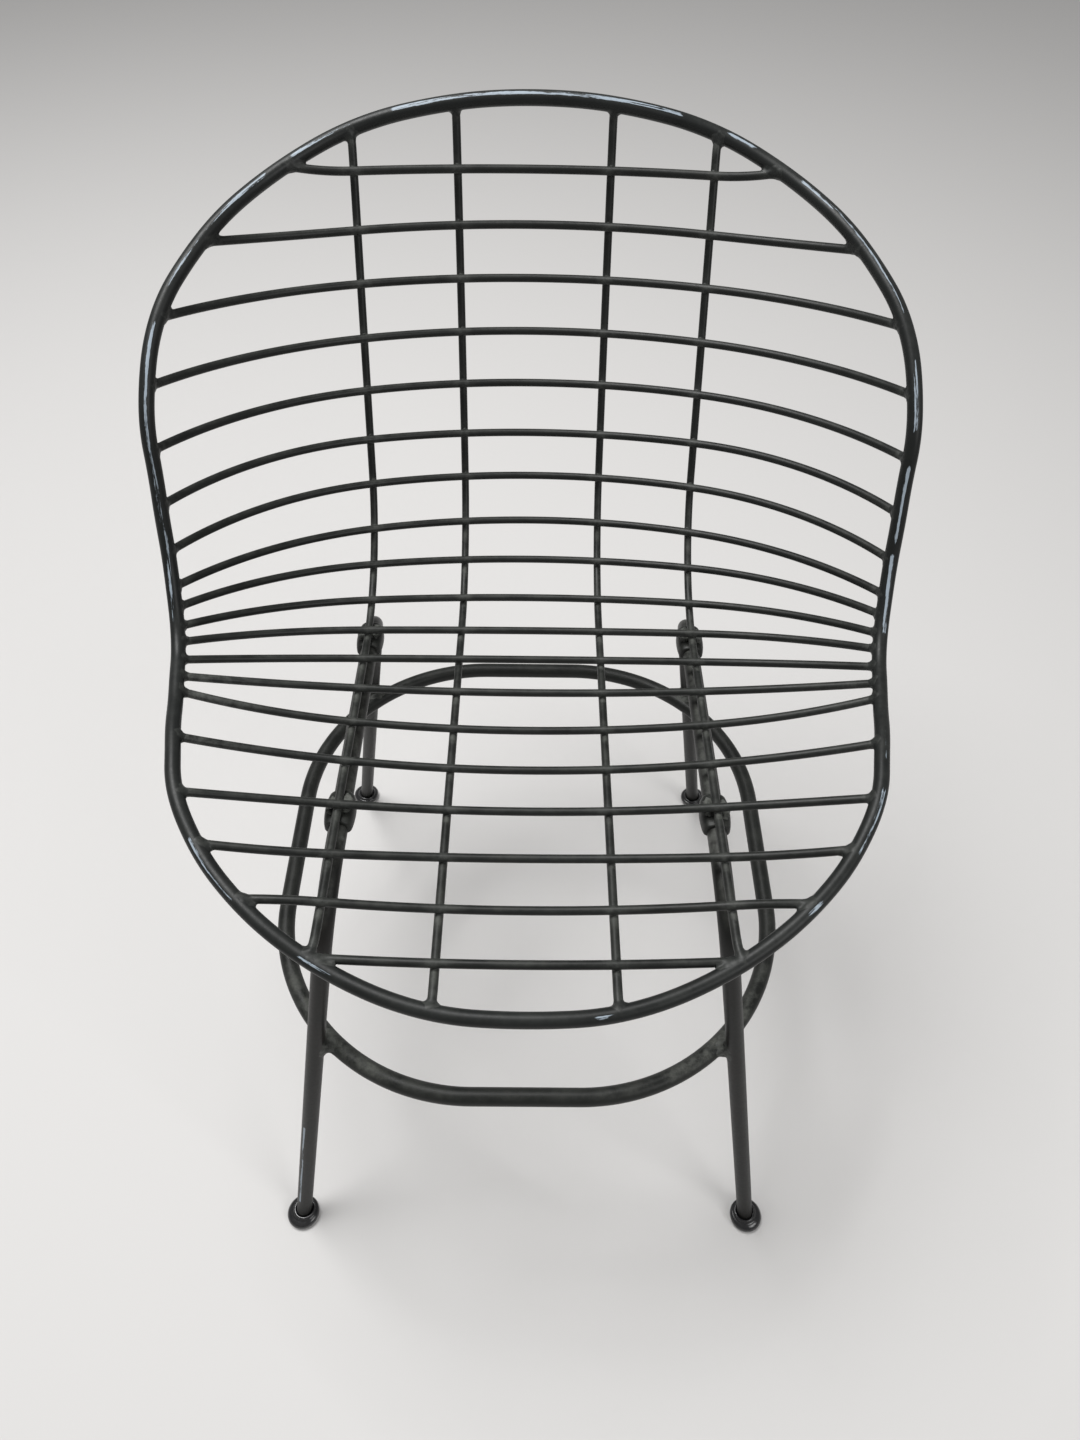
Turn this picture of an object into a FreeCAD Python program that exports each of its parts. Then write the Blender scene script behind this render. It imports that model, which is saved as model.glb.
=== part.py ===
import FreeCAD, Part
import math
import os

from FreeCAD import Rotation, Vector

# Wire seat chair: two bent side frames, a ring stretcher and a shell of bowed wires.
# Millimetres. X is to the chair's left-right, -Y is the front, +Z is up.
# The origin is on the floor under the middle of the chair's box.

# Stock
tube_diameter = 14.3
rim_diameter = 11.1
wire_diameter = 6.35

# Side frames, by the corners of their centre line
rail_spread = 272.8
rail_front_y = -198.0
rail_rear_y = 109.0
rail_front_height = 438.5
rail_slope = 3.6
frame_lean = 9.5
front_foot_y = -285.0
rear_foot_y = 202.0
side_bend_radius = 57.0

# Foot glides
glide_diameter = 30.0
glide_height = 12.5
glide_flat_diameter = 22.0
glide_belly_height = 4.5
glide_lip_height = 2.0
glide_collar_wall = 1.6
glide_floor = 3.0

# Ring stretcher, level and inside the four legs
ring_height = 269.0
ring_half_width = 206.5
ring_front_y = -267.0
ring_rear_y = 173.0

# Saddles that carry the outer long wires on the rails
saddle_wall = 2.4
saddle_width = 22.4
saddle_length = 30.0
front_saddle_y = -120.0
rear_saddle_y = 66.0
# A saddle's section, across and up from the rail's middle, from its crown to its lip
saddle_section_shares = ((0.0, 1.0), (0.42, 0.95), (0.8, 0.74), (1.0, 0.42), (0.95, 0.12), (0.7, 0.0))
# A quarter of its outline from above, along and across
saddle_plan_shares = ((1.0, 0.48), (0.72, 0.9), (0.42, 1.05))

# Long wires, seen from the side
long_front_y = -273.0
outer_back_rake = 23.7
outer_bend_radius = 132.0
outer_corner_y = 140.8
inner_spread = 117.4
inner_seat_height = 442.9
inner_seat_slope = 2.3
inner_corner_y = 165.2
inner_bend_radius = 125.0
inner_back_rake = 24.0
inner_bow_radius = 1946.0

# Rim, by its half width, its top and its front
rim_half_width = 273.5
rim_top_y = 294.4
rim_top_height = 764.0
rim_front_y = -279.0
rim_front_height = 440.0

# Stations along the right half of the rim, from the top to the front
rim_width_shares = (0.0, 0.215, 0.499, 0.68, 0.871, 0.967, 0.996, 1.0, 0.995,
                    0.981, 0.951, 0.914, 0.877, 0.801, 0.673, 0.493, 0.227, 0.0)
rim_depth_shares = (1.0, 0.994, 0.979, 0.928, 0.814, 0.719, 0.643, 0.595, 0.548,
                    0.491, 0.408, 0.32, 0.248, 0.182, 0.115, 0.057, 0.009, 0.0)
rim_rise_shares = (1.0, 0.992, 0.943, 0.893, 0.816, 0.724, 0.602, 0.417, 0.253,
                   0.153, 0.136, 0.146, 0.133, 0.099, 0.068, 0.028, 0.003, 0.0)

# Cross wires from the top of the back to the front of the seat
# Where each one crosses the inner long wires, as a share of their length from the front
wire_row_shares = (0.902, 0.854, 0.806, 0.756, 0.705, 0.654, 0.608, 0.56, 0.517, 0.47,
                   0.422, 0.379, 0.333, 0.284, 0.235, 0.187, 0.136, 0.085, 0.035)
# Where each one crosses the outer long wires, but for the last, which is too short to reach them
wire_outer_shares = (0.908, 0.856, 0.807, 0.755, 0.703, 0.652, 0.604, 0.555, 0.515, 0.472,
                     0.431, 0.387, 0.343, 0.296, 0.245, 0.192, 0.136, 0.086)
# Where each one meets the rim, as a share of the rim's half length from the top
wire_end_shares = (0.191, 0.279, 0.343, 0.391, 0.434, 0.473, 0.507, 0.533, 0.548, 0.562,
                   0.574, 0.589, 0.605, 0.619, 0.664, 0.709, 0.749, 0.797, 0.856)

# How far one bar is melted into the next at a weld
weld_sink = 0.4

# Flats round each bar and the turn that one step of a bend takes
tube_sides = 16
rim_sides = 14
wire_sides = 12
glide_sides = 24
tube_bend_step = 11.0
rim_bend_step = 10.25
wire_bend_step = 9.25
# The longest flat along a wide bow
longest_step = 52.0
# Steps of the search for where a long wire passes closest to the rim
trim_steps = 60
# Flats of a glide's dome from its belly to its lip
dome_steps = 2
# The drawn length of a back wire before it is cut at the rim, over its rise
back_overrun = 1.2
# Below these shares a turn or a bow is taken as straight and two headings as one
least_turn_share = 1e-6
least_spread_share = 1e-9
# How far out of one plane the corners of a flat may lie
flatness = 5e-8

tube_radius = tube_diameter / 2
rim_radius = rim_diameter / 2
wire_radius = wire_diameter / 2
saddle_height = tube_radius + saddle_wall
rail_x = rail_spread / 2
inner_x = inner_spread / 2
# From the middle of a long wire to the middle of a cross wire welded on it
wire_lift = wire_diameter - weld_sink


def ring_points(centre, along, up, radius, sides):
    side = along.cross(up).normalize()
    top = side.cross(along).normalize()
    points = []
    for i in range(sides):
        turn = 2 * math.pi * (i + 0.5) / sides
        points.append(centre + top * (radius * math.cos(turn)) + side * (radius * math.sin(turn)))
    return points


def carried(points, edge, step):
    """The sections along one edge: moved along a line, or turned about an arc's axis."""
    first = edge.FirstParameter
    last = edge.LastParameter
    if isinstance(edge.Curve, Part.Line):
        shift = edge.valueAt(last) - edge.valueAt(first)
        return [[p + shift for p in points]]
    middle = edge.Curve.Center
    axis = edge.Curve.Axis
    sweep = math.degrees(last - first)
    count = max(1, round(abs(sweep) / step), math.ceil(edge.Length / longest_step))
    rings = []
    for i in range(count):
        turn = Rotation(axis, sweep * (i + 1) / count)
        rings.append([middle + turn.multVec(p - middle) for p in points])
    return rings


def sections(edges, radius, sides, step, up):
    start = edges[0].valueAt(edges[0].FirstParameter)
    along = edges[0].tangentAt(edges[0].FirstParameter)
    rings = [ring_points(start, along, up, radius, sides)]
    for edge in edges:
        rings += carried(rings[-1], edge, step)
    return rings


def polygon(points):
    return Part.Face(Part.makePolygon(points + points[:1]))


def panel(a, b, c, d):
    """One flat face between four corners, or two where they don't share a plane."""
    normal = (b - a).cross(c - a).normalize()
    if abs((d - a).dot(normal)) < flatness:
        return [polygon([a, b, c, d])]
    return [polygon([a, b, c]), polygon([a, c, d])]


def skin(rings):
    """Flat faces between each section and the next."""
    faces = []
    for near, far in zip(rings[:-1], rings[1:]):
        for i in range(len(near)):
            j = (i + 1) % len(near)
            faces += panel(near[i], near[j], far[j], far[i])
    return faces


def closed_solid(faces):
    shell = Part.makeShell(faces)
    shell.sewShape()
    solid = Part.makeSolid(shell)
    if solid.Volume < 0:
        solid.reverse()
    return solid


def bar(edges, radius, sides, step, up):
    rings = sections(edges, radius, sides, step, up)
    return closed_solid(skin(rings) + [polygon(rings[0]), polygon(rings[-1])])


def line(a, b):
    return Part.LineSegment(a, b).toShape()


def arc(a, middle, b):
    return Part.Arc(a, middle, b).toShape()


def rounded(points, radius):
    """A run of straight pieces with every inner corner rounded."""
    edges = []
    start = points[0]
    for i in range(1, len(points) - 1):
        corner = points[i]
        back = (points[i - 1] - corner).normalize()
        ahead = (points[i + 1] - corner).normalize()
        half = back.getAngle(ahead) / 2
        reach = radius / math.tan(half)
        inward = (back + ahead).normalize()
        crown = corner + inward * (radius / math.sin(half) - radius)
        edges.append(line(start, corner + back * reach))
        edges.append(arc(corner + back * reach, crown, corner + ahead * reach))
        start = corner + ahead * reach
    edges.append(line(start, points[-1]))
    return edges


def biarc(a, along_a, b, along_b):
    """Two tangent arcs from a to b."""
    span = b - a
    both = along_a + along_b
    spread = 2 * (1 - along_a.dot(along_b))
    reach = span.dot(both)
    if spread < least_spread_share:
        length = span.dot(span) / (4 * span.dot(along_b))
    else:
        length = (-reach + math.sqrt(reach * reach + spread * span.dot(span))) / spread
    joint = (a + along_a * length + b - along_b * length) / 2
    return [tangent_arc(a, along_a, joint), tangent_arc(b, -along_b, joint, True)]


def tangent_arc(start, along, end, backwards=False):
    span = end - start
    side = span - along * span.dot(along)
    if side.Length < least_turn_share * span.Length:
        return line(end, start) if backwards else line(start, end)
    inward = side.normalize()
    radius = span.dot(span) / (2 * span.dot(inward))
    centre = start + inward * radius
    outward = ((start - centre).normalize() + (end - centre).normalize()).normalize()
    crown = centre + outward * radius
    return arc(end, crown, start) if backwards else arc(start, crown, end)


def mirrored(shape):
    return shape.mirror(Vector(0, 0, 0), Vector(1, 0, 0))


# Side frames

def rail_height(y):
    return rail_front_height - (y - rail_front_y) * math.tan(math.radians(rail_slope))


def foot_x(y):
    drop = rail_height(y)
    return rail_x + drop * math.tan(math.radians(frame_lean))


def frame_corners(floor=0.0):
    front_foot = Vector(foot_x(front_foot_y), front_foot_y, 0)
    rear_foot = Vector(foot_x(rear_foot_y), rear_foot_y, 0)
    front = Vector(rail_x, rail_front_y, rail_height(rail_front_y))
    rear = Vector(rail_x, rail_rear_y, rail_height(rail_rear_y))
    up_front = front_foot + (front - front_foot) * (floor / front.z)
    up_rear = rear_foot + (rear - rear_foot) * (floor / rear.z)
    return [up_front, front, rear, up_rear]


def side_frame():
    floor = glide_floor + tube_radius * math.sin(math.radians(frame_lean))
    edges = rounded(frame_corners(floor), side_bend_radius)
    return bar(edges, tube_radius, tube_sides, tube_bend_step, Vector(1, 0, 0))


def level_ring(radius, height):
    return ring_points(Vector(0, 0, height), Vector(0, 0, 1), Vector(0, 1, 0), radius, glide_sides)


def glide(foot, frame):
    """A domed cap with a flat tread, a raised lip and a socket for the leg."""
    belly = glide_diameter / 2
    collar = tube_radius + glide_collar_wall
    rings = [level_ring(glide_flat_diameter / 2, 0), level_ring(belly, glide_belly_height)]
    dome_top = glide_height - glide_lip_height
    for i in range(dome_steps):
        turn = math.radians(90 * (i + 1) / (dome_steps + 1))
        radius = collar + (belly - collar) * math.cos(turn)
        height = glide_belly_height + (dome_top - glide_belly_height) * math.sin(turn)
        rings.append(level_ring(radius, height))
    rings.append(level_ring(collar, dome_top))
    rings.append(level_ring(collar, glide_height))
    body = closed_solid(skin(rings) + [polygon(rings[0]), polygon(rings[-1])])
    body.translate(foot)
    return body.cut(frame).Solids[0]


# Ring stretcher

def leg_at(height, foot, corner):
    return foot + (corner - foot) * (height / corner.z)


def touching_radius(leg, corner_side, end_y):
    """The corner radius whose arc lies one bar's width inside the leg."""
    gap = tube_diameter / math.cos(math.radians(frame_lean)) - weld_sink
    a = leg.x - corner_side
    b = abs(leg.y - end_y)
    total = b + gap - a
    return total + math.sqrt(total * total - (a * a + b * b - gap * gap))


def ring_edges():
    foot_front, front, rear, foot_rear = frame_corners()
    front_leg = leg_at(ring_height, foot_front, front)
    rear_leg = leg_at(ring_height, foot_rear, rear)
    front_radius = touching_radius(front_leg, ring_half_width, ring_front_y)
    rear_radius = touching_radius(rear_leg, ring_half_width, ring_rear_y)
    half = ring_half_width
    corners = []
    for radius, end_y, sign in ((front_radius, ring_front_y, 1), (rear_radius, ring_rear_y, -1)):
        inset = radius * (1 - math.sqrt(0.5))
        corners.append((
            Vector(half - radius, end_y, ring_height),
            Vector(half - inset, end_y + sign * inset, ring_height),
            Vector(half, end_y + sign * radius, ring_height),
        ))
    front_end, front_crown, front_side = corners[0]
    rear_end, rear_crown, rear_side = corners[1]
    return [
        line(Vector(0, ring_front_y, ring_height), front_end),
        arc(front_end, front_crown, front_side),
        line(front_side, rear_side),
        arc(rear_side, rear_crown, rear_end),
        line(rear_end, Vector(0, ring_rear_y, ring_height)),
    ]


def closed_loop(half_edges, radius, sides, step, up):
    """A closed bar from its right half and the mirror image of it."""
    rings = sections(half_edges, radius, sides, step, up)
    right = skin(rings)
    left = [mirrored(face) for face in right]
    return closed_solid(right + left)


# Long wires, drawn in the side view as a heading that turns

def heading(degrees):
    return Vector(0, math.cos(math.radians(degrees)), math.sin(math.radians(degrees)))


def upright(degrees):
    return Vector(0, -math.sin(math.radians(degrees)), math.cos(math.radians(degrees)))


def turned(start, start_heading, radius, turn):
    """An arc that turns upwards and the place and heading at its end."""
    centre = start + upright(start_heading) * radius
    middle = centre - upright(start_heading + turn / 2) * radius
    end = centre - upright(start_heading + turn) * radius
    return arc(start, middle, end), end


def long_path(x, seat_height, seat_slope, corner_y, bend_radius, rake, bow_radius, raise_by):
    """Seat run, bend and back of a long wire, moved raise_by towards the sitter."""
    lift = upright(-seat_slope) * raise_by
    front = Vector(x, long_front_y, seat_height) + lift
    turn = 90 - rake + seat_slope
    full_corner = (corner_y - long_front_y) / math.cos(math.radians(seat_slope))
    straight = full_corner - bend_radius * math.tan(math.radians(turn / 2))
    bend_start = front + heading(-seat_slope) * straight
    bend, bend_end = turned(bend_start, -seat_slope, bend_radius - raise_by, turn)
    back_heading = 90 - rake
    back_length = back_overrun * (rim_top_height - bend_end.z)
    if bow_radius:
        sweep = math.degrees(back_length / bow_radius)
        back, _ = turned(bend_end, back_heading, bow_radius - raise_by, sweep)
    else:
        back = line(bend_end, bend_end + heading(back_heading) * back_length)
    return [line(front, bend_start), bend, back]


def outer_seat_height():
    stack = saddle_height + wire_radius - weld_sink
    return rail_height(long_front_y) + stack / math.cos(math.radians(rail_slope))


def outer_path(raise_by=0.0):
    return long_path(rail_x, outer_seat_height(), rail_slope, outer_corner_y, outer_bend_radius,
                     outer_back_rake, 0, raise_by)


def inner_path(raise_by=0.0):
    return long_path(inner_x, inner_seat_height, inner_seat_slope, inner_corner_y,
                     inner_bend_radius, inner_back_rake, inner_bow_radius, raise_by)


# Rim

def rim_stations():
    points = []
    for width, depth, rise in zip(rim_width_shares, rim_depth_shares, rim_rise_shares):
        points.append(Vector(
            rim_half_width * width,
            rim_front_y + (rim_top_y - rim_front_y) * depth,
            rim_front_height + (rim_top_height - rim_front_height) * rise,
        ))
    return points


def rim_edges():
    points = rim_stations()
    ways = [Vector(1, 0, 0)]
    for before, here, after in zip(points[:-2], points[1:-1], points[2:]):
        first = here - before
        second = after - here
        near = first.Length
        far = second.Length
        ways.append((first * (far / near) + second * (near / far)).normalize())
    ways.append(Vector(-1, 0, 0))
    edges = []
    for i in range(len(points) - 1):
        edges += biarc(points[i], ways[i], points[i + 1], ways[i + 1])
    return edges


def point_along(edges, share):
    wanted = share * sum(edge.Length for edge in edges)
    for edge in edges:
        if wanted <= edge.Length:
            return edge.valueAt(edge.getParameterByLength(wanted))
        wanted -= edge.Length
    return edges[-1].valueAt(edges[-1].LastParameter)


def shortened(edge, first, last):
    if isinstance(edge.Curve, Part.Line):
        return line(edge.valueAt(first), edge.valueAt(last))
    return arc(edge.valueAt(first), edge.valueAt((first + last) / 2), edge.valueAt(last))


def nearest_to_rim(rim, edge, from_end):
    """The edge cut off where its centre line passes closest to the rim."""
    first = edge.FirstParameter
    last = edge.LastParameter
    best = min(
        (rim.distToShape(Part.Vertex(edge.valueAt(first + (last - first) * i / trim_steps)))[0], i)
        for i in range(trim_steps + 1)
    )[1]
    here = first + (last - first) * best / trim_steps
    if from_end:
        return shortened(edge, first, here)
    return shortened(edge, here, last)


def long_wire(path, rim_path, rim):
    """A long wire whose ends are shaped to the rim."""
    seat, bend, back = path
    seat = nearest_to_rim(rim_path, seat, False)
    back = nearest_to_rim(rim_path, back, True)
    wire = bar([seat, bend, back], wire_radius, wire_sides, wire_bend_step, Vector(1, 0, 0))
    return wire.cut(rim).Solids[0]


# Cross wires

def across(point):
    return Vector(-point.x, point.y, point.z)


def mirrored_edge(edge):
    """The mirror image of an edge, run the other way."""
    first = across(edge.valueAt(edge.LastParameter))
    last = across(edge.valueAt(edge.FirstParameter))
    if isinstance(edge.Curve, Part.Line):
        return line(first, last)
    half = (edge.FirstParameter + edge.LastParameter) / 2
    return arc(first, across(edge.valueAt(half)), last)


def bow(inner, end):
    """The arc through two points and their mirror images, in three pieces, and its heading."""
    slope = Vector(0, end.y - inner.y, end.z - inner.z)
    height = slope.Length
    if height < least_turn_share * end.x:
        right = line(inner, end)
        return [mirrored_edge(right), line(across(inner), inner), right], Vector(1, 0, 0)
    rise = slope.normalize()
    centre = (end.x ** 2 - inner.x ** 2 + height ** 2) / (2 * height)
    radius = math.sqrt(inner.x ** 2 + centre ** 2)
    base = Vector(0, inner.y, inner.z)
    crown = base + rise * (centre - radius)
    x = (inner.x + end.x) / 2
    between = base + rise * (centre - math.sqrt(radius ** 2 - x ** 2)) + Vector(x, 0, 0)
    lean = math.asin(end.x / radius)
    along = Vector(math.cos(lean), 0, 0) + rise * math.sin(lean)
    right = arc(inner, between, end)
    return [mirrored_edge(right), arc(across(inner), crown, inner), right], along


def cross_wire(number, rim_path, rim):
    """A wire over the inner and outer long wires, with its ends shaped to the rim."""
    end = point_along(rim_path, wire_end_shares[number - 1])
    inner = point_along(inner_path(wire_lift), wire_row_shares[number - 1])
    if number > len(wire_outer_shares):
        path, _ = bow(inner, end)
    else:
        outer = point_along(outer_path(wire_lift), wire_outer_shares[number - 1])
        bowed, along = bow(inner, outer)
        right = tangent_arc(outer, along, end)
        path = [mirrored_edge(right)] + bowed + [right]
    wire = bar(path, wire_radius, wire_sides, wire_bend_step, Vector(0, 0, 1))
    return wire.cut(rim).Solids[0]


# Saddles

def saddle(y, frame, wire):
    """An oval cap bent over the rail, with two ears and a bed for the long wire."""
    along = heading(-rail_slope)
    up = upright(-rail_slope)
    side = Vector(1, 0, 0)
    seat = Vector(rail_x, y, rail_height(y))
    half_width = saddle_width / 2
    half_length = saddle_length / 2
    right = [side * (half_width * out) + up * (saddle_height * rise)
             for out, rise in saddle_section_shares]
    section = right + [across(p) for p in right[:0:-1]]
    strap = polygon([seat - along * half_length + p for p in section]).extrude(along * saddle_length)
    quarter = [along * (half_length * far) + side * (half_width * out)
               for far, out in saddle_plan_shares]
    front = [p - along * (2 * p.dot(along)) for p in quarter]
    half = quarter + front[::-1]
    outline = [seat + p for p in half + [across(p) for p in half[::-1]]]
    blank = polygon(outline).extrude(up * saddle_width)
    return strap.common(blank).cut([frame, wire]).Solids[0]


def write(name, shape):
    shape.exportStep("parts/" + name + ".step")


def build():
    os.makedirs("parts", exist_ok=True)
    rim_path = rim_edges()
    rim = closed_loop(rim_path, rim_radius, rim_sides, rim_bend_step, Vector(0, 0, 1))
    write("seat_rim", rim)
    write("ring_stretcher", closed_loop(ring_edges(), tube_radius, tube_sides, tube_bend_step,
                                        Vector(0, 0, 1)))
    for number in range(1, len(wire_end_shares) + 1):
        write("cross_wire_%02d" % number, cross_wire(number, rim_path, rim))
    frame = side_frame()
    outer = long_wire(outer_path(), Part.Wire(rim_path), rim)
    right = {
        "side_frame": frame,
        "long_wire_outer": outer,
        "long_wire_inner": long_wire(inner_path(), Part.Wire(rim_path), rim),
        "saddle_front": saddle(front_saddle_y, frame, outer),
        "saddle_rear": saddle(rear_saddle_y, frame, outer),
    }
    for place, y in (("front", front_foot_y), ("rear", rear_foot_y)):
        right["glide_" + place] = glide(Vector(foot_x(y), y, 0), frame)
    for name, shape in right.items():
        write(name + "_right", shape)
        write(name + "_left", mirrored(shape))


build()
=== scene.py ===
import bmesh
import bpy
import math
import numpy as np
from mathutils import Matrix, Vector, noise


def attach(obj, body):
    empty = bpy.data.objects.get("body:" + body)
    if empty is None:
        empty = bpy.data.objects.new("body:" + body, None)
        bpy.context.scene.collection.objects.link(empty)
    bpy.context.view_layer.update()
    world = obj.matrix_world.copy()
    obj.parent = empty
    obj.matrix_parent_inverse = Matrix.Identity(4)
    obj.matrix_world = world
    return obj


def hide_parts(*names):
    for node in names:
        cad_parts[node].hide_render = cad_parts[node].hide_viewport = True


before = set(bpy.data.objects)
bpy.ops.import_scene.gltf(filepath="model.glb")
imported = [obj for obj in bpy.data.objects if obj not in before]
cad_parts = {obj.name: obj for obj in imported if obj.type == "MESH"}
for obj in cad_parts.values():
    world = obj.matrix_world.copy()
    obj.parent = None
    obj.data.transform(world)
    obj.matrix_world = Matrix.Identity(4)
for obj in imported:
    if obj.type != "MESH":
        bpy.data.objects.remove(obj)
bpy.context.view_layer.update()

# Sizes in millimetres, as in the CAD source, and MM turns them into metres
MM = 0.001
tube_radius = 7.15
rim_radius = 5.55
wire_radius = 3.175
weld_sink = 0.4
wire_lift = 2 * wire_radius - weld_sink
rail_x = 136.4
inner_x = 58.7
saddle_wall = 2.4
saddle_width = 22.4
saddle_length = 30.0
saddle_height = tube_radius + saddle_wall
front_saddle_y = -120.0
rear_saddle_y = 66.0

# Drawn bars are a little thinner than the CAD's faceted ones, whose corners they stay inside
rim_size = rim_radius * 0.975
wire_size = wire_radius * 0.99
tube_size = tube_radius * 0.99

# Side frames
rail_front_y = -198.0
rail_rear_y = 109.0
rail_front_height = 438.5
rail_slope = math.radians(3.6)
frame_lean = math.radians(9.5)
front_foot_y = -285.0
rear_foot_y = 202.0
side_bend_radius = 57.0
glide_floor = 3.0

# Ring stretcher
ring_height = 269.0
ring_half_width = 206.5
ring_front_y = -267.0
ring_rear_y = 173.0

# Long wires
long_front_y = -273.0
# How long a long wire's back is before the rim cuts it, as a share of its rise to the rim's top
back_overrun = 1.2
outer_corner_y = 140.8
outer_bend_radius = 132.0
outer_back_rake = math.radians(23.7)
inner_seat_height = 442.9
inner_seat_slope = math.radians(2.3)
inner_corner_y = 165.2
inner_bend_radius = 125.0
inner_back_rake = math.radians(24.0)
inner_bow_radius = 1946.0

# Rim stations along its right half, from the top to the front
rim_half_width = 273.5
rim_top_y = 294.4
rim_top_height = 764.0
rim_front_y = -279.0
rim_front_height = 440.0
rim_width_shares = (0.0, 0.215, 0.499, 0.68, 0.871, 0.967, 0.996, 1.0, 0.995,
                    0.981, 0.951, 0.914, 0.877, 0.801, 0.673, 0.493, 0.227, 0.0)
rim_depth_shares = (1.0, 0.994, 0.979, 0.928, 0.814, 0.719, 0.643, 0.595, 0.548,
                    0.491, 0.408, 0.32, 0.248, 0.182, 0.115, 0.057, 0.009, 0.0)
rim_rise_shares = (1.0, 0.992, 0.943, 0.893, 0.816, 0.724, 0.602, 0.417, 0.253,
                   0.153, 0.136, 0.146, 0.133, 0.099, 0.068, 0.028, 0.003, 0.0)

# Cross wires, from the top of the back to the front of the seat
wire_row_shares = (0.902, 0.854, 0.806, 0.756, 0.705, 0.654, 0.608, 0.56, 0.517, 0.47,
                   0.422, 0.379, 0.333, 0.284, 0.235, 0.187, 0.136, 0.085, 0.035)
wire_outer_shares = (0.908, 0.856, 0.807, 0.755, 0.703, 0.652, 0.604, 0.555, 0.515, 0.472,
                     0.431, 0.387, 0.343, 0.296, 0.245, 0.192, 0.136, 0.086)
wire_end_shares = (0.191, 0.279, 0.343, 0.391, 0.434, 0.473, 0.507, 0.533, 0.548, 0.562,
                   0.574, 0.589, 0.605, 0.619, 0.664, 0.709, 0.749, 0.797, 0.856)


# Centre lines, as lists of points close together

def line(a, b, step=8.0):
    count = max(1, math.ceil((b - a).length / step))
    return [a.lerp(b, i / count) for i in range(count + 1)]


def swing(centre, start, axis, turn, step=3.0):
    """Points on an arc from start, turned about an axis through centre."""
    radius = (start - centre).length
    count = max(2, math.ceil(abs(turn) * radius / step))
    spoke = start - centre
    return [centre + Matrix.Rotation(turn * i / count, 3, axis) @ spoke for i in range(count + 1)]


def joined(*runs):
    points = []
    for run in runs:
        for p in run:
            if not points or (p - points[-1]).length > 0.01:
                points.append(p.copy())
    return points


def rounded(corners, radius):
    runs = []
    start = corners[0]
    for before, corner, after in zip(corners[:-2], corners[1:-1], corners[2:]):
        back = (before - corner).normalized()
        ahead = (after - corner).normalized()
        half = back.angle(ahead) / 2
        reach = radius / math.tan(half)
        centre = corner + (back + ahead).normalized() * (radius / math.sin(half))
        a = corner + back * reach
        b = corner + ahead * reach
        axis = (a - centre).cross(b - centre).normalized()
        runs.append(line(start, a))
        runs.append(swing(centre, a, axis, (a - centre).angle(b - centre)))
        start = b
    runs.append(line(start, corners[-1]))
    return joined(*runs)


def tangent_arc(start, along, end):
    span = end - start
    side = span - along * span.dot(along)
    if side.length < 1e-6 * span.length:
        return line(start, end)
    inward = side.normalized()
    radius = span.length_squared / (2 * span.dot(inward))
    centre = start + inward * radius
    axis = along.cross(-inward).normalized()
    turn = 2 * math.atan2(span.dot(inward), span.dot(along))
    return swing(centre, start, -axis, turn)


def biarc(a, along_a, b, along_b):
    span = b - a
    reach = span.dot(along_a + along_b)
    spread = 2 * (1 - along_a.dot(along_b))
    if spread < 1e-9:
        length = span.length_squared / (4 * span.dot(along_b))
    else:
        length = (-reach + math.sqrt(reach * reach + spread * span.length_squared)) / spread
    joint = (a + along_a * length + b - along_b * length) / 2
    return joined(tangent_arc(a, along_a, joint), tangent_arc(b, -along_b, joint)[::-1])


def across(p):
    return Vector((-p.x, p.y, p.z))


def mirrored(points):
    return [across(p) for p in points]


def both_sides(half):
    """A line that starts on the chair's middle, with its mirror image before it."""
    return mirrored(half[:0:-1]) + half


def measured(points):
    marks = [0.0]
    for a, b in zip(points[:-1], points[1:]):
        marks.append(marks[-1] + (b - a).length)
    return marks


def at_share(points, share):
    marks = measured(points)
    wanted = share * marks[-1]
    for i in range(len(points) - 1):
        if marks[i + 1] >= wanted:
            t = (wanted - marks[i]) / (marks[i + 1] - marks[i])
            return points[i].lerp(points[i + 1], t)
    return points[-1]


def heading(angle):
    return Vector((0, math.cos(angle), math.sin(angle)))


def upright(angle):
    return Vector((0, -math.sin(angle), math.cos(angle)))


def rail_height(y):
    return rail_front_height - (y - rail_front_y) * math.tan(rail_slope)


def foot_x(y):
    return rail_x + rail_height(y) * math.tan(frame_lean)


def frame_corners(floor):
    front_foot = Vector((foot_x(front_foot_y), front_foot_y, 0))
    rear_foot = Vector((foot_x(rear_foot_y), rear_foot_y, 0))
    front = Vector((rail_x, rail_front_y, rail_height(rail_front_y)))
    rear = Vector((rail_x, rail_rear_y, rail_height(rail_rear_y)))
    return [front_foot.lerp(front, floor / front.z), front, rear, rear_foot.lerp(rear, floor / rear.z)]


def touching_radius(leg, end_y):
    gap = 2 * tube_radius / math.cos(frame_lean) - weld_sink
    a = leg.x - ring_half_width
    b = abs(leg.y - end_y)
    total = b + gap - a
    return total + math.sqrt(total * total - (a * a + b * b - gap * gap))


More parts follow.
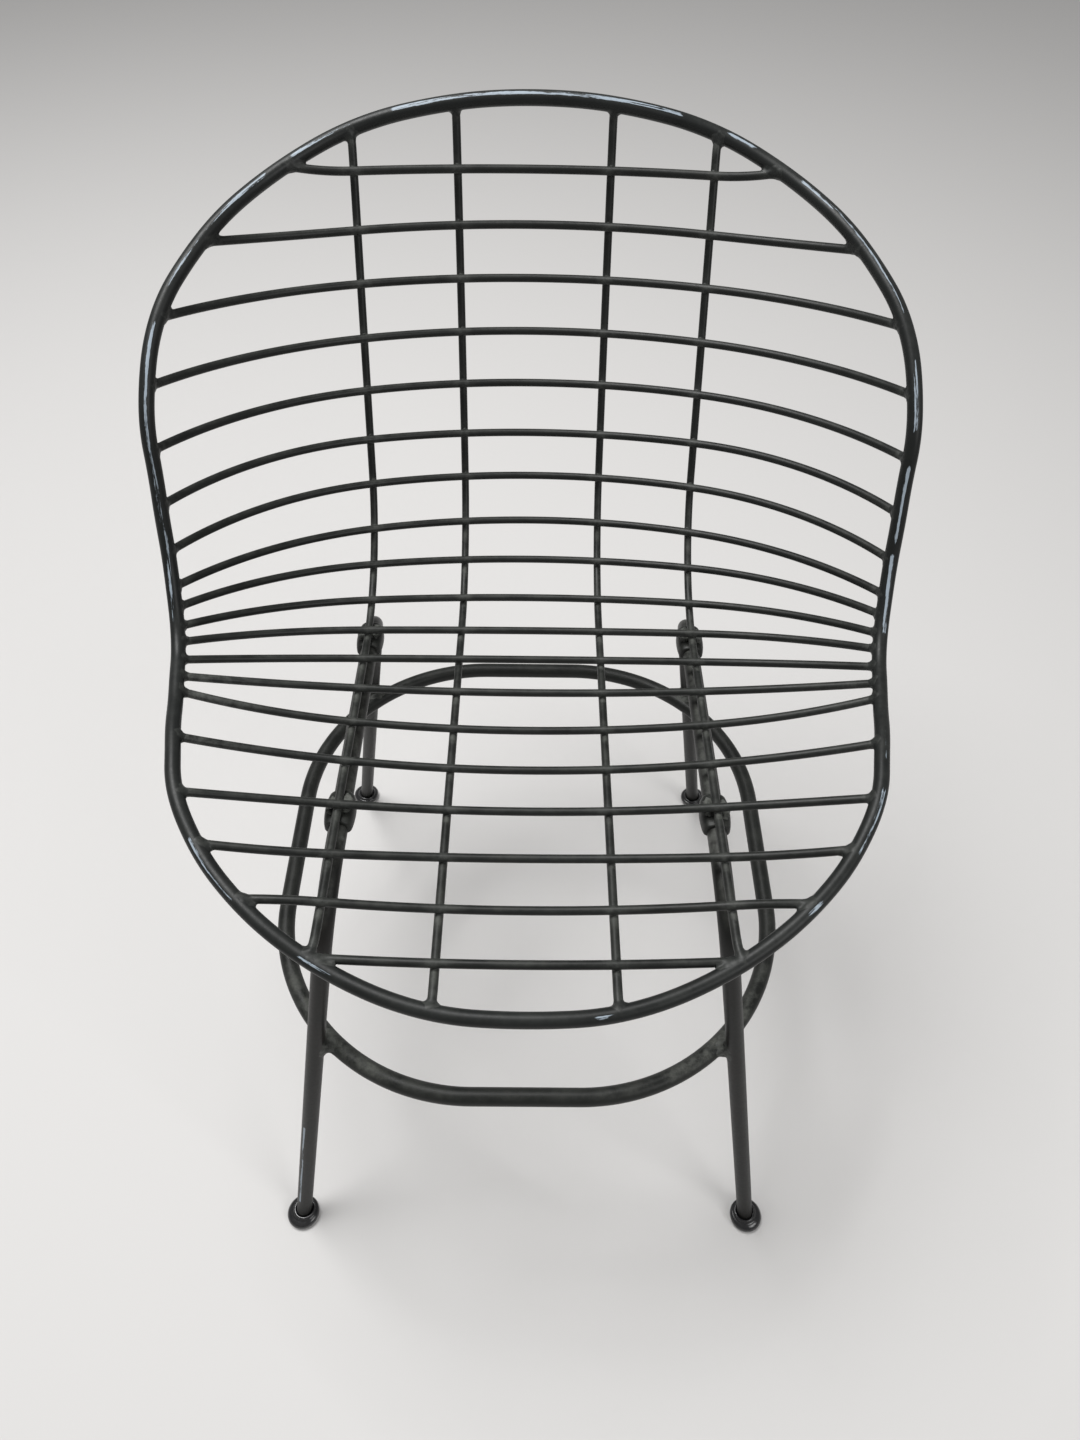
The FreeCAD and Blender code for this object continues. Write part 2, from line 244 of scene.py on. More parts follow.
def ring_path():
    foot_front, front, rear, foot_rear = frame_corners(0)
    front_leg = foot_front.lerp(front, ring_height / front.z)
    rear_leg = foot_rear.lerp(rear, ring_height / rear.z)
    front_radius = touching_radius(front_leg, ring_front_y)
    rear_radius = touching_radius(rear_leg, ring_rear_y)
    half = ring_half_width
    up = Vector((0, 0, 1))
    front_centre = Vector((half - front_radius, ring_front_y + front_radius, ring_height))
    rear_centre = Vector((half - rear_radius, ring_rear_y - rear_radius, ring_height))
    front_end = Vector((half - front_radius, ring_front_y, ring_height))
    rear_side = Vector((half, ring_rear_y - rear_radius, ring_height))
    return joined(
        line(Vector((0, ring_front_y, ring_height)), front_end),
        swing(front_centre, front_end, up, math.pi / 2),
        line(Vector((half, ring_front_y + front_radius, ring_height)), rear_side),
        swing(rear_centre, rear_side, up, math.pi / 2),
        line(Vector((half - rear_radius, ring_rear_y, ring_height)), Vector((0, ring_rear_y, ring_height))),
    )


def long_path(x, height, slope, corner_y, bend_radius, rake, bow_radius, lift):
    front = Vector((x, long_front_y, height)) + upright(-slope) * lift
    turn = math.pi / 2 - rake + slope
    corner = (corner_y - long_front_y) / math.cos(slope)
    straight = corner - bend_radius * math.tan(turn / 2)
    axis = Vector((1, 0, 0))
    bend_start = front + heading(-slope) * straight
    bend = swing(bend_start + upright(-slope) * (bend_radius - lift), bend_start, axis, turn)
    back_heading = math.pi / 2 - rake
    length = back_overrun * (rim_top_height - bend[-1].z)
    if bow_radius:
        centre = bend[-1] + upright(back_heading) * (bow_radius - lift)
        back = swing(centre, bend[-1], axis, length / bow_radius)
    else:
        back = line(bend[-1], bend[-1] + heading(back_heading) * length)
    return joined(line(front, bend_start), bend, back)


def outer_path(lift=0.0):
    stack = saddle_height + wire_radius - weld_sink
    height = rail_height(long_front_y) + stack / math.cos(rail_slope)
    return long_path(rail_x, height, rail_slope, outer_corner_y, outer_bend_radius,
                     outer_back_rake, 0, lift)


def inner_path(lift=0.0):
    return long_path(inner_x, inner_seat_height, inner_seat_slope, inner_corner_y, inner_bend_radius,
                     inner_back_rake, inner_bow_radius, lift)


def rim_path():
    stations = []
    for width, depth, rise in zip(rim_width_shares, rim_depth_shares, rim_rise_shares):
        stations.append(Vector((
            rim_half_width * width,
            rim_front_y + (rim_top_y - rim_front_y) * depth,
            rim_front_height + (rim_top_height - rim_front_height) * rise,
        )))
    ways = [Vector((1, 0, 0))]
    for before, here, after in zip(stations[:-2], stations[1:-1], stations[2:]):
        near = (here - before).length
        far = (after - here).length
        ways.append(((here - before) * (far / near) + (after - here) * (near / far)).normalized())
    ways.append(Vector((-1, 0, 0)))
    runs = [biarc(stations[i], ways[i], stations[i + 1], ways[i + 1]) for i in range(len(stations) - 1)]
    return joined(*runs)


RIM = rim_path()


def rim_distance(p):
    """How far a point is from the rim's centre line, on either side."""
    p = Vector((abs(p.x), p.y, p.z))
    best = math.inf
    for a, b in zip(RIM[:-1], RIM[1:]):
        ab = b - a
        t = max(0.0, min(1.0, (p - a).dot(ab) / ab.length_squared))
        best = min(best, (a + ab * t - p).length)
    return best


def cut_at_rim(points):
    """The part of a line between its two closest passes of the rim's centre line."""
    gaps = [rim_distance(p) for p in points]
    middle = len(points) // 2
    first = min(range(middle), key=lambda i: gaps[i])
    last = min(range(middle, len(points)), key=lambda i: gaps[i])
    return points[first:last + 1]


def bow(inner, end):
    """The right half of the arc over the inner long wires up to a point, and its heading there."""
    slope = Vector((0, end.y - inner.y, end.z - inner.z))
    height = slope.length
    rise = slope.normalized()
    centre = (end.x ** 2 - inner.x ** 2 + height ** 2) / (2 * height)
    radius = math.hypot(inner.x, centre)
    lean = math.asin(end.x / radius)
    count = math.ceil(end.x / 4)
    points = []
    for i in range(count + 1):
        angle = lean * i / count
        across_by = Vector((radius * math.sin(angle), 0, 0))
        points.append(Vector((0, inner.y, inner.z)) + rise * (centre - radius * math.cos(angle)) + across_by)
    return points, Vector((math.cos(lean), 0, 0)) + rise * math.sin(lean)


def cross_half(number):
    end = at_share(RIM, wire_end_shares[number])
    inner = at_share(inner_path(wire_lift), wire_row_shares[number])
    if number >= len(wire_outer_shares):
        return bow(inner, end)[0]
    outer = at_share(outer_path(wire_lift), wire_outer_shares[number])
    points, along = bow(inner, outer)
    return joined(points, tangent_arc(outer, along, end))


def steps(points, step):
    """The same line with even steps."""
    marks = measured(points)
    total = marks[-1]
    places = [0.0]
    while places[-1] < total:
        places.append(places[-1] + step)
    places = [place * total / places[-1] for place in places]
    found = []
    i = 0
    for place in places:
        while i < len(marks) - 2 and marks[i + 1] < place:
            i += 1
        t = (place - marks[i]) / (marks[i + 1] - marks[i])
        found.append(points[i].lerp(points[i + 1], t))
    return found


# Meshes

def put(name, verts, faces, material, uvs=None, masks=None):
    mesh = bpy.data.meshes.new(name)
    mesh.from_pydata([v * MM for v in verts], [], faces)
    mesh.polygons.foreach_set("use_smooth", [True] * len(mesh.polygons))
    if uvs:
        layer = mesh.uv_layers.new(name="bar")
        for loop in mesh.loops:
            layer.data[loop.index].uv = uvs[loop.vertex_index]
    for key, values in (masks or {}).items():
        attribute = mesh.attributes.new(key, "FLOAT", "POINT")
        attribute.data.foreach_set("value", values)
    mesh.materials.append(material)
    mesh.update()
    obj = bpy.data.objects.new(name, mesh)
    bpy.context.scene.collection.objects.link(obj)
    return obj


def frames_along(points, closed):
    """A heading and a steady sideways direction at each point of a line."""
    count = len(points)
    ways = []
    for i in range(count):
        a = points[i - 1] if i or closed else points[0]
        b = points[(i + 1) % count] if i < count - 1 or closed else points[-1]
        ways.append((b - a).normalized())
    side = ways[0].cross(Vector((0, 0, 1)))
    if side.length < 0.1:
        side = ways[0].cross(Vector((1, 0, 0)))
    side.normalize()
    sides = [side]
    for i in range(1, count):
        turn = ways[i - 1].rotation_difference(ways[i])
        side = turn @ sides[-1]
        side = (side - ways[i] * side.dot(ways[i])).normalized()
        sides.append(side)
    if closed:
        turn = ways[-1].rotation_difference(ways[0])
        back = turn @ sides[-1]
        twist = math.atan2(ways[0].dot(back.cross(sides[0])), back.dot(sides[0]))
        for i in range(count):
            sides[i] = Matrix.Rotation(twist * i / count, 3, ways[i]) @ sides[i]
    return ways, sides


def nothing(*_):
    return 0.0


def steady(value):
    def rule(*_):
        return value
    return rule


def tube(name, points, radius, material, closed=False, sides=24, rub=nothing, dust=nothing, bare_and_glint=nothing):
    """A round bar on a line of points, with the amounts of its wear, dust and painted highlight at every
    vertex.
    """
    ways, offsides = frames_along(points, closed)
    marks = measured(points)
    verts, uvs, faces = [], [], []
    masks = {"rub": [], "dust": [], "bare_and_glint": []}
    for i, p in enumerate(points):
        up = ways[i].cross(offsides[i])
        rubbed = rub(p)
        dusty = dust(p)
        for j in range(sides):
            turn = 2 * math.pi * j / sides
            out = offsides[i] * math.cos(turn) + up * math.sin(turn)
            verts.append(p + out * radius)
            uvs.append((marks[i] * MM, turn / (2 * math.pi)))
            masks["rub"].append(rubbed)
            masks["dust"].append(dusty)
            masks["bare_and_glint"].append(bare_and_glint(p, out, marks[i], ways[i]))
    rows = len(points) if closed else len(points) - 1
    for i in range(rows):
        k = (i + 1) % len(points)
        for j in range(sides):
            n = (j + 1) % sides
            faces.append((i * sides + j, i * sides + n, k * sides + n, k * sides + j))
    if not closed:
        faces.append(tuple(range(sides - 1, -1, -1)))
        last = (len(points) - 1) * sides
        faces.append(tuple(range(last, last + sides)))
    return put(name, verts, faces, material, uvs, masks)


def evenly(count, rub, dust):
    return {"rub": [rub] * count, "dust": [dust] * count, "bare_and_glint": [0.0] * count}


def power(value, exponent):
    return math.copysign(abs(value) ** exponent, value)


def pillows(name, places, material, rings, sides, roughness, grain, rub, dust):
    """Rounded lumps, each by its middle and three half axes."""
    verts, faces = [], []
    for middle, a, b, c in places:
        first = len(verts)
        for i in range(1, rings):
            tilt = math.pi * i / rings
            for j in range(sides):
                turn = 2 * math.pi * j / sides
                out = (a * math.cos(turn) + b * math.sin(turn)) * math.sin(tilt) + c * math.cos(tilt)
                swell = 1 + roughness * noise.noise((middle + out) * grain)
                verts.append(middle + out * swell)
        for i in range(rings - 2):
            for j in range(sides):
                n = (j + 1) % sides
                near = first + i * sides
                faces.append((near + j, near + sides + j, near + sides + n, near + n))
        far = first + (rings - 2) * sides
        faces.append(tuple(first + j for j in range(sides)))
        faces.append(tuple(far + j for j in range(sides - 1, -1, -1)))
    obj = put(name, verts, faces, material, [(v.x * MM, 0.0) for v in verts], evenly(len(verts), rub, dust))
    shape = bmesh.new()
    shape.from_mesh(obj.data)
    bmesh.ops.recalc_face_normals(shape, faces=shape.faces)
    shape.to_mesh(obj.data)
    shape.free()
    return obj


# Welds

# Each weld's reach from its spot, its net's cell, the size of the melt and its roughness
RIM_WELD = (12.0, 0.95, 4.0, 0.3)
CROSSING_WELD = (5.6, 0.8, 2.4, 0.35)
RING_WELD = (21.0, 1.3, 9.5, 0.22)
# How deep a weld's skin lies in the bars where it ends
SKIN_SINK = 0.08
# How much of a bar is looked at, in reaches from the weld's spot
BAR_REACH = 1.9
# Directions and rates in which the size of a melt wavers
MELT_WAVES = ((0.9, 0.5, 0.7), (-0.6, 1.1, 0.4), (0.3, -0.8, 1.3))
# The step that a slope is measured with, and how often the net is drawn to the skin
SLOPE_STEP = 0.01
NET_ROUNDS = 3


def line_gap(places, points):
    """Distances from an array of places to a line of points."""
    best = np.full(len(places), np.inf)
    for a, b in zip(points[:-1], points[1:]):
        span = b - a
        t = np.clip((places - a) @ span / (span @ span), 0, 1)
        best = np.minimum(best, np.linalg.norm(places - a - t[:, None] * span, axis=1))
    return best


def near_part(points, spot, reach):
    """The stretch of a line about a spot, as an array."""
    kept = [i for i, p in enumerate(points) if (p - spot).length < reach]
    first = max(0, kept[0] - 1)
    return np.array([tuple(p) for p in points[first:kept[-1] + 2]])


def melted(places, bars, size, rough):
    """Distances to two bars that melt into one, and how much they melt at each place."""
    (one, one_radius), (two, two_radius) = bars
    a = line_gap(places, one) - one_radius
    b = line_gap(places, two) - two_radius
    wave = sum(np.sin(places @ way) for way in MELT_WAVES)
    melt = size * (1 + rough * wave / 3)
    share = np.clip(1 - np.abs(a - b) / melt, 0, 1)
    return np.minimum(a, b) - share * share * melt / 4 + SKIN_SINK, share


def axis_order(axis):
    return axis, (axis + 1) % 3, (axis + 2) % 3


def net_points(values, places):
    """A point in each cell that the skin runs through, and the points' numbers by cell."""
    cells = len(values) - 1
    total = np.zeros((cells, cells, cells, 3))
    hits = np.zeros((cells, cells, cells))
    for axis in range(3):
        order = axis_order(axis)
        grid = values.transpose(order)
        spots = places.transpose(order + (3,))
        low, high = grid[:-1], grid[1:]
        crossed = (low < 0) != (high < 0)
        t = np.where(crossed, low / np.where(crossed, low - high, 1.0), 0.0)
        where = (spots[:-1] + (spots[1:] - spots[:-1]) * t[..., None]) * crossed[..., None]
        back = tuple(np.argsort(order))
        for u in (0, 1):
            for v in (0, 1):
                total += where[:, u:u + cells, v:v + cells].transpose(back + (3,))
                hits += crossed[:, u:u + cells, v:v + cells].transpose(back)
    active = hits > 0
    index = np.full(hits.shape, -1)
    index[active] = np.arange(active.sum())
    return total[active] / hits[active][:, None], index


def net_faces(values, index):
    """A face across each grid edge that the skin runs through, turned outward."""
    faces = []
    for axis in range(3):
        grid = values.transpose(axis_order(axis))
        ids = index.transpose(axis_order(axis))
        low, high = grid[:-1, 1:-1, 1:-1], grid[1:, 1:-1, 1:-1]
        crossed = (low < 0) != (high < 0)
        around = (ids[:, :-1, :-1], ids[:, 1:, :-1], ids[:, 1:, 1:], ids[:, :-1, 1:])
        corners = np.stack(around, -1)[crossed]
        outward = (low < 0)[crossed]
        corners[~outward] = corners[~outward][:, ::-1]
        faces.append(corners)
    return np.concatenate(faces)


def weld_skin(spot, bars, weld):
    """The smooth skin that joins two bars about a spot, where it stands out of both."""
    reach, cell, size, rough = weld
    near_bars = [(near_part(points, spot, reach * BAR_REACH), radius) for points, radius in bars]
    count = 2 * math.ceil(reach / cell) + 1
    ticks = (np.arange(count) - (count - 1) / 2) * cell
    places = np.stack(np.meshgrid(ticks, ticks, ticks, indexing="ij"), -1) + np.array(tuple(spot))
    values = melted(places.reshape(-1, 3), near_bars, size, rough)[0].reshape(count, count, count)
    verts, index = net_points(values, places)
    for _ in range(NET_ROUNDS):
        value = melted(verts, near_bars, size, rough)[0]
        beside = [melted(verts + step, near_bars, size, rough)[0] for step in np.eye(3) * SLOPE_STEP]
        slope = np.stack([(other - value) / SLOPE_STEP for other in beside], 1)
        verts = verts - slope * (value / np.maximum((slope ** 2).sum(1), 0.1))[:, None]
    share = melted(verts, near_bars, size, rough)[1]
    faces = net_faces(values, index)
    faces = faces[share[faces].max(axis=1) > 0]
    used = np.unique(faces)
    renumber = np.full(len(verts), -1)
    renumber[used] = np.arange(len(used))
    return verts[used], renumber[faces]


def welds(name, joints, material, rub, dust):
    """One mesh of weld skins, each by its spot, its pair of bars and its kind of weld."""
    verts, faces = [], []
    for joint in joints:
        skin, quads = weld_skin(*joint)
        faces += [tuple(int(i) + len(verts) for i in quad) for quad in quads]
        verts += [Vector(v) for v in skin]
    return put(name, verts, faces, material, [(v.x * MM, 0.0) for v in verts], evenly(len(verts), rub, dust))


def ride_for(obj, slot, *nodes):
    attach(obj, "root")
    if nodes:
        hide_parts(*nodes)


# Materials

def links(material):
    return material.node_tree.nodes, material.node_tree.links


def add(nodes, kind, **settings):
    node = nodes.new(kind)
    for key, value in settings.items():
        setattr(node, key, value)
    return node


def ramp(nodes, wire, source, low, high, first=0.0, second=1.0):
    """A straight ramp from one value to another, held flat outside them."""
    node = nodes.new("ShaderNodeMapRange")
    node.clamp = True
    node.inputs["From Min"].default_value = low
    node.inputs["From Max"].default_value = high
    node.inputs["To Min"].default_value = first
    node.inputs["To Max"].default_value = second
    wire.new(source, node.inputs["Value"])
    return node.outputs["Result"]


def math_node(nodes, wire, operation, a, b):
    node = nodes.new("ShaderNodeMath")
    node.operation = operation
    for i, value in enumerate((a, b)):
        if isinstance(value, (int, float)):
            node.inputs[i].default_value = value
        else:
            wire.new(value, node.inputs[i])
    return node.outputs[0]


def mix_colour(nodes, wire, factor, a, b):
    node = nodes.new("ShaderNodeMix")
    node.data_type = "RGBA"
    wire.new(factor, node.inputs["Factor"])
    for name, value in (("A", a), ("B", b)):
        socket = [s for s in node.inputs if s.name == name and s.type == "RGBA"][0]
        if isinstance(value, tuple):
            socket.default_value = value + (1.0,)
        else:
            wire.new(value, socket)
    return [s for s in node.outputs if s.type == "RGBA"][0]


def noise_node(nodes, wire, coords, scale, detail=3.0, roughness=0.5, stretch=None):
    if stretch:
        mapping = nodes.new("ShaderNodeMapping")
        mapping.inputs["Scale"].default_value = stretch
        wire.new(coords, mapping.inputs["Vector"])
        coords = mapping.outputs["Vector"]
    node = nodes.new("ShaderNodeTexNoise")
    node.inputs["Scale"].default_value = scale
    node.inputs["Detail"].default_value = detail
    node.inputs["Roughness"].default_value = roughness
    wire.new(coords, node.inputs["Vector"])
    return node.outputs["Fac"]


RUST = (0.016, 0.011, 0.009)
DUST = (0.13, 0.135, 0.12)
RUBBED = (0.125, 0.13, 0.12)
# Pale bluish grey of bare metal in scratches, also used as a painted highlight along the rim's crest
BARE_AND_GLINT = (0.3, 0.35, 0.4)


def paint(name, dark, light, warm=0.0):
    """Satin paint on iron: uneven colour, dust on top, rubbed welds, bright scratches and a painted
    highlight along the rim's crest.
    """
    material = bpy.data.materials.new(name)
    material.use_nodes = True
    nodes, wire = links(material)
    shader = nodes["Principled BSDF"]
    place = nodes.new("ShaderNodeTexCoord").outputs["Object"]
    bar = add(nodes, "ShaderNodeUVMap", uv_map="bar").outputs["UV"]
    rub = add(nodes, "ShaderNodeAttribute", attribute_name="rub").outputs["Fac"]
    dust = add(nodes, "ShaderNodeAttribute", attribute_name="dust").outputs["Fac"]
    # This mask holds real scratches and the rim's painted highlight
    worn_and_glint = add(nodes, "ShaderNodeAttribute", attribute_name="bare_and_glint").outputs["Fac"]
    normal = nodes.new("ShaderNodeNewGeometry").outputs["Normal"]
    split = nodes.new("ShaderNodeSeparateXYZ")
    wire.new(normal, split.inputs["Vector"])
    up = ramp(nodes, wire, split.outputs["Z"], 0.45, 1.0)

    cloud = noise_node(nodes, wire, place, 24.0, 5.0, 0.62)
    fine = noise_node(nodes, wire, place, 420.0, 4.0, 0.6)
    patches = noise_node(nodes, wire, place, 55.0, 6.0, 0.7)
    colour = mix_colour(nodes, wire, ramp(nodes, wire, cloud, 0.3, 0.7), dark, light)
    if warm:
        rusty = noise_node(nodes, wire, place, 9.0, 3.0, 0.6)
        amount = ramp(nodes, wire, rusty, 0.5, 0.72, 0.0, warm)
        colour = mix_colour(nodes, wire, amount, colour, RUST)

    # Dust that lies on upward faces in patches
    dusty = math_node(nodes, wire, "MULTIPLY", up, ramp(nodes, wire, patches, 0.4, 0.66))
    dusty = math_node(nodes, wire, "MULTIPLY", dusty, ramp(nodes, wire, fine, 0.3, 0.7, 0.4, 0.75))
    dusty = math_node(nodes, wire, "MULTIPLY", dusty, dust)
    colour = mix_colour(nodes, wire, dusty, colour, DUST)

    # Pale rubbed paint by the welds
    scuff = noise_node(nodes, wire, place, 160.0, 5.0, 0.7)
    rubbed = math_node(nodes, wire, "MULTIPLY", rub, ramp(nodes, wire, scuff, 0.4, 0.64, 0.05, 0.62))
    colour = mix_colour(nodes, wire, rubbed, colour, RUBBED)

    # Scratches and painted highlight along the bar: the stronger its mask, the more of its streaks are
    # painted pale, as bare metal and as painted highlight
    streak = noise_node(nodes, wire, bar, 1.0, 3.0, 0.6, (22.0, 17.0, 1.0))
    hair = noise_node(nodes, wire, bar, 1.0, 3.0, 0.7, (190.0, 50.0, 1.0))
    streaky = math_node(nodes, wire, "ADD", math_node(nodes, wire, "MULTIPLY", streak, 0.7),
                        math_node(nodes, wire, "MULTIPLY", hair, 0.3))
    bare_and_glint = math_node(nodes, wire, "ADD", streaky, math_node(nodes, wire, "MULTIPLY", worn_and_glint, 0.5))
    bare_and_glint = ramp(nodes, wire, bare_and_glint, 0.78, 0.84)
    colour = mix_colour(nodes, wire, bare_and_glint, colour, BARE_AND_GLINT)
    wire.new(colour, shader.inputs["Base Color"])

    rough = ramp(nodes, wire, fine, 0.25, 0.75, 0.36, 0.47)
    rough = math_node(nodes, wire, "ADD", rough, math_node(nodes, wire, "MULTIPLY", dusty, 0.5))
    rough = math_node(nodes, wire, "ADD", rough, math_node(nodes, wire, "MULTIPLY", rubbed, 0.2))
    wire.new(rough, shader.inputs["Roughness"])
    shader.inputs["Specular IOR Level"].default_value = 0.24

    swells = noise_node(nodes, wire, place, 140.0, 3.0, 0.5)
    relief = math_node(nodes, wire, "ADD", math_node(nodes, wire, "MULTIPLY", swells, 0.8),
                       math_node(nodes, wire, "MULTIPLY", fine, 0.3))
    relief = math_node(nodes, wire, "SUBTRACT", relief, math_node(nodes, wire, "MULTIPLY", bare_and_glint, 0.25))
    bump = nodes.new("ShaderNodeBump")
    bump.inputs["Strength"].default_value = 0.3
    bump.inputs["Distance"].default_value = 0.0004
    wire.new(relief, bump.inputs["Height"])
    wire.new(bump.outputs["Normal"], shader.inputs["Normal"])
    return material


def glossy_cap(name):
    """Moulded black plastic with dust and fine scuffs."""
    material = bpy.data.materials.new(name)
    material.use_nodes = True
    nodes, wire = links(material)
    shader = nodes["Principled BSDF"]
    place = nodes.new("ShaderNodeTexCoord").outputs["Object"]
    normal = nodes.new("ShaderNodeNewGeometry").outputs["Normal"]
    split = nodes.new("ShaderNodeSeparateXYZ")
    wire.new(normal, split.inputs["Vector"])
    up = ramp(nodes, wire, split.outputs["Z"], 0.6, 1.0)
    patches = noise_node(nodes, wire, place, 120.0, 5.0, 0.7)
    fine = noise_node(nodes, wire, place, 700.0, 3.0, 0.6)
    dusty = math_node(nodes, wire, "MULTIPLY", up, ramp(nodes, wire, patches, 0.5, 0.75, 0.0, 0.09))
    colour = mix_colour(nodes, wire, ramp(nodes, wire, patches, 0.3, 0.7),
                        (0.007, 0.007, 0.008), (0.012, 0.012, 0.013))
    colour = mix_colour(nodes, wire, dusty, colour, (0.2, 0.195, 0.19))
    wire.new(colour, shader.inputs["Base Color"])
    rough = ramp(nodes, wire, fine, 0.3, 0.7, 0.16, 0.26)
    wire.new(math_node(nodes, wire, "ADD", rough, dusty), shader.inputs["Roughness"])
    shader.inputs["Coat Weight"].default_value = 0.3
    shader.inputs["Coat Roughness"].default_value = 0.1
    bump = nodes.new("ShaderNodeBump")
    bump.inputs["Strength"].default_value = 0.15
    bump.inputs["Distance"].default_value = 0.0002
    wire.new(fine, bump.inputs["Height"])
    wire.new(bump.outputs["Normal"], shader.inputs["Normal"])
    return material


FRAME_PAINT = paint("frame_paint", (0.0085, 0.0095, 0.0085), (0.014, 0.015, 0.0135))
LEG_PAINT = paint("leg_paint", (0.0055, 0.0058, 0.0052), (0.0095, 0.0098, 0.0088), warm=0.35)
RIM_PAINT = paint("rim_paint", (0.0085, 0.0095, 0.009), (0.014, 0.0155, 0.015))
WIRE_PAINT = paint("wire_paint", (0.008, 0.0088, 0.008), (0.0135, 0.0148, 0.0135))
CAP = glossy_cap("glide_plastic")


# Wear, dust and the rim's painted highlight

# Stretches of the rim with scratches and a painted highlight, by their start, end and strength, from the top
# and to the right
rim_scratches_and_glints = ((-105, 92, 0.72), (95, 108, 0.8), (150, 168, 0.8), (-190, -140, 0.62), (-330, -215, 0.6),
                 (-575, -360, 0.66), (215, 345, 0.6), (380, 425, 0.66), (452, 505, 0.74), (518, 578, 0.74),
                 (655, 700, 0.5), (728, 775, 0.68), (821, 830, 0.7), (-822, -770, 0.64), (-905, -880, 0.6),
                 (978, 984, 0.58))
# How far the scratches and painted highlight of a stretch fade out beyond its ends
scratch_and_glint_fade = 7.0
# Between these heights the line of scratches and painted highlight moves from the rim's outer side to its
# front
crest_turn_low = 450.0
crest_turn_high = 540.0
# The line of scratches and painted highlight starts where a surface faces it this much, and is at its full
# strength a little nearer
crest_edge = 0.93
crest_fade = 0.055
# The rim's outer side faces away from this place on the chair's middle
seat_centre_y = -20.0
# The front left leg's scratch: its heights, the side that it is on, how narrow it is and its strength
leg_scratch_low = 34.0
leg_scratch_high = 165.0
leg_scratch_side = Vector((-0.55, -0.8, 0.24)).normalized()
leg_scratch_narrow = 0.991
leg_scratch_strength = 0.72
# Rubbed paint by a weld: its strength, and the square millimetres over which it fades
weld_rub_strength = 0.55
weld_rub_area = 60.0
# Rubbed paint at a wire's end is this much weaker on the right
right_end_share = 0.45
# Dust on the ring gathers round these places beside the front legs
ring_dust_x = 165.0
ring_dust_y = -231.0
ring_dust_reach = 60.0
# Dust on a long wire lies between these distances in front of a crossing, most of it in the middle,
# and a point is on the crossing's own wire when it is no further than this to its side
sill_near, sill_middle, sill_far = 2.0, 7.0, 16.0
same_wire = 3.0


def rim_crest(p, out, way):
    """Where the scratches and painted highlight lie: strongest along a narrow line on the outer upper side
    of the seat and the front of the back.
    """
    away = Vector((p.x, p.y - seat_centre_y, 0)).normalized()
    low = away * 0.5 + Vector((0, 0, 0.86))
    high = Vector((-away.x * 0.2, -0.5, 0.8))
    turned = (p.z - crest_turn_low) / (crest_turn_high - crest_turn_low)
    crest = low.lerp(high, max(0.0, min(1.0, turned)))
    crest = (crest - way * crest.dot(way)).normalized()
    return max(0.0, min(1.0, (out.dot(crest) - crest_edge) / crest_fade))


# Scratches and a painted highlight on the rim's crest, along the listed stretches
def rim_wear_and_glint(p, out, mark, way):
    place = mark - rim_length / 2
    worn_and_glint = 0.0
    for start, end, strength in rim_scratches_and_glints:
        outside = max(start - place, place - end, 0.0)
        worn_and_glint = max(worn_and_glint, strength * max(0.0, 1 - outside / scratch_and_glint_fade))
    return worn_and_glint * rim_crest(p, out, way) if worn_and_glint else 0.0


def leg_scratch(p, out, *_):
    """A thin upright scratch low on the front left leg."""
    if p.x > 0 or p.y > rail_front_y or not leg_scratch_low < p.z < leg_scratch_high:
        return 0.0
    return leg_scratch_strength if out.dot(leg_scratch_side) > leg_scratch_narrow else 0.0


def weld_rub(p):
    """Rubbed paint round each weld."""
    best = min((p - w).length_squared for w in weld_spots)
    return weld_rub_strength * math.exp(-best / weld_rub_area)


def end_rub(strength, reach):
    """Rubbed paint that fades away from both ends of a wire, mostly on its left."""
    def rule(p):
        near = rim_half_width - abs(p.x)
        side = 1.0 if p.x < 0 else right_end_share
        return max(weld_rub(p), strength * side * math.exp(-(near / reach) ** 2))
    return rule


def ring_dust(p):
    """Most dust lies on the ring beside the front legs."""
    places = [Vector((x, ring_dust_y, 0)) for x in (-ring_dust_x, ring_dust_x)]
    beside = min((Vector((p.x, p.y, 0)) - place).length for place in places)
    return 0.25 + 1.5 * math.exp(-(beside / ring_dust_reach) ** 2)


def rail_dust(p):
    """Dust lies on the rails, and less of it on the bends and legs."""
    return 1.0 if rail_rear_y > p.y > rail_front_y else 0.3


# Worn patches on the rails by the saddles, by their places along the rail, lengths and strengths
rail_patches = ((-146.0, 9.0, 1.0), (-78.0, 26.0, 0.7), (43.0, 7.0, 0.8))


def rail_rub(p):
    """Rubbed patches by the saddles."""
    if not rail_rear_y > p.y > rail_front_y:
        return 0.0
    return max(strength * math.exp(-((p.y - y) / reach) ** 2) for y, reach, strength in rail_patches)


def sill_dust(p):
    """Dust lies on the long wires in front of each cross wire."""
    best = 0.0
    for w in crossings:
        ahead = w.y - p.y
        if sill_near < ahead < sill_far and abs(w.x - abs(p.x)) < same_wire:
            best = max(best, 1 - abs(ahead - sill_middle) / (sill_far - sill_middle))
    return 0.35 + 0.9 * best


# Build the object

# Steps along the drawn bars, and the sides of the thick ones
rim_step, long_step, cross_step, tube_step = 3.0, 3.0, 3.5, 4.0
thick_sides = 36

rim_full = both_sides(steps(RIM, rim_step))
rim_length = measured(rim_full)[-1]

cross_lines = [both_sides(cross_half(k)) for k in range(len(wire_end_shares))]


def sunk(points, bend=13.0, share=0.62):
    """A wire whose ends turn a little into the rim's middle, where the weld holds them."""
    marks = measured(points)
    found = list(points)
    for end, place in ((0, 0.0), (-1, marks[-1])):
        middle = min(rim_full, key=lambda q: (q - points[end]).length_squared)
        for i, mark in enumerate(marks):
            near = max(0.0, 1 - abs(mark - place) / bend)
            found[i] = found[i] + (middle - points[end]) * share * near * near
    return found


